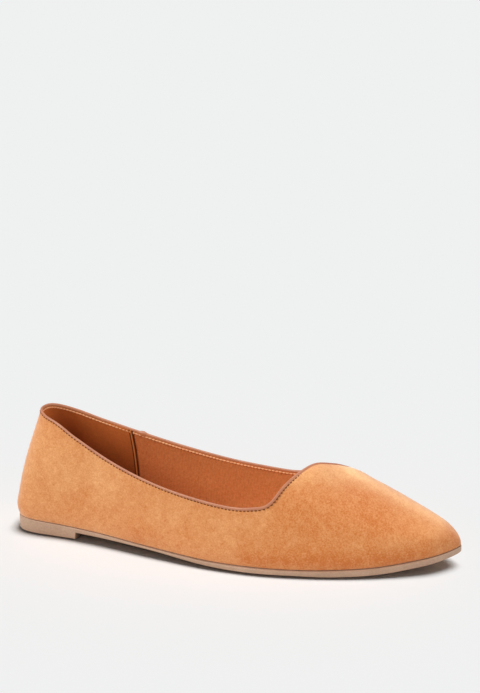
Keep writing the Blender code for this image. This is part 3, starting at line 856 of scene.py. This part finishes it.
groove_sides = np.array([-GROOVE_HALF - GROOVE_WALL, -GROOVE_HALF, GROOVE_HALF, GROOVE_HALF + GROOVE_WALL])
sole_columns = np.unique(np.concatenate([
    np.linspace(0, 1, SOLE_STEPS + 1), turn_of([HEEL_LENGTH, HEEL_LENGTH + BREAST_LEAN]),
    turn_of((grooves[:, None] + groove_sides).ravel())]))
sole = laid_grid("rubber_sole", sole_columns, np.linspace(0, 1, len(sole_section)), sole_place)
sole.data.materials.append(rubber)
sole.data.set_sharp_from_angle(angle=math.radians(SHARP_ANGLE))
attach(sole, "root")
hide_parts("outsole")

# Stage: a plain pale matt floor under soft studio light, and a long lens that looks down at the lateral side.
# The floor runs past every edge of the frame.
FLOOR_HALF = 8.0
FLOOR_COLOUR = "#f3f4f4"
STUDIO_GLOW = 0.12
bm = bmesh.new()
bmesh.ops.create_grid(bm, x_segments=1, y_segments=1, size=FLOOR_HALF)
floor = as_piece("floor", bm)
floor_look, tree, shader, coords = new_material("pale_floor")
shader.inputs["Base Color"].default_value = linear(FLOOR_COLOUR)
shader.inputs["Roughness"].default_value = 0.9
shader.inputs["Specular IOR Level"].default_value = 0.0
floor.data.materials.append(floor_look)

scene = bpy.context.scene
scene.view_settings.view_transform = "Standard"
scene.world = bpy.data.worlds.new("studio")
scene.world.use_nodes = True
glow = scene.world.node_tree.nodes["Background"]
glow.inputs["Color"].default_value = (1, 1, 1, 1)
glow.inputs["Strength"].default_value = STUDIO_GLOW

# Soft lights by azimuth (0 is the lateral side, 90 the toe), height, angle across, strength and what takes
# them. The floor takes one high light from the medial side of the toe, and only the sole shades it, so that
# the shadow stays close. The shoe takes a high one from the medial side, one in front from the heel's side,
# and a low one from the toe
floor_only = bpy.data.collections.new("floor_only")
shoe_only = bpy.data.collections.new("shoe_only")
sole_only = bpy.data.collections.new("sole_only")
sole_only.objects.link(sole)
for piece in scene.objects:
    if piece.type == "MESH":
        (floor_only if piece == floor else shoe_only).objects.link(piece)
LIGHTS = [(140.0, 66.0, 45.0, 2.9, floor_only), (190.0, 70.0, 30.0, 2.0, shoe_only),
          (-40.0, 38.0, 35.0, 2.75, shoe_only), (85.0, 14.0, 35.0, 1.4, shoe_only)]
for azimuth, height, wide, strength, lit in LIGHTS:
    lamp = bpy.data.lights.new("softbox", "SUN")
    lamp.energy = strength
    lamp.angle = math.radians(wide)
    holder = bpy.data.objects.new("softbox", lamp)
    holder.rotation_euler = (math.radians(90 - height), 0, math.radians(azimuth))
    holder.light_linking.receiver_collection = lit
    if lit == floor_only:
        holder.light_linking.blocker_collection = sole_only
    scene.collection.objects.link(holder)

# Camera: found by matching the shoe's outline; it stands high on the lateral side towards the toe
AIM_ALONG, AIM_UP = 128.0, 0.0258
AIM = ((AIM_ALONG - LAST_CENTRE[0]) * MM, -LAST_CENTRE[1] * MM, AIM_UP)
CAMERA_AWAY = 1.14348
CAMERA_AZIMUTH, CAMERA_HEIGHT = 16.905, 21.812
LOOK_AZIMUTH, LOOK_DOWN = 16.77, 17.547
FRAME_HIGH, FOCAL_PIXELS = 693, 2055.27
SENSOR_WIDTH = 36.0
lens = bpy.data.cameras.new("camera")
lens.sensor_width = SENSOR_WIDTH
lens.lens = SENSOR_WIDTH * FOCAL_PIXELS / FRAME_HIGH
camera = bpy.data.objects.new("camera", lens)
azimuth, height = math.radians(CAMERA_AZIMUTH), math.radians(CAMERA_HEIGHT)
camera.location = (AIM[0] + CAMERA_AWAY * math.sin(azimuth) * math.cos(height),
                   AIM[1] - CAMERA_AWAY * math.cos(azimuth) * math.cos(height),
                   AIM[2] + CAMERA_AWAY * math.sin(height))
camera.rotation_euler = (math.radians(90 - LOOK_DOWN), 0, math.radians(LOOK_AZIMUTH))
scene.collection.objects.link(camera)
scene.camera = camera
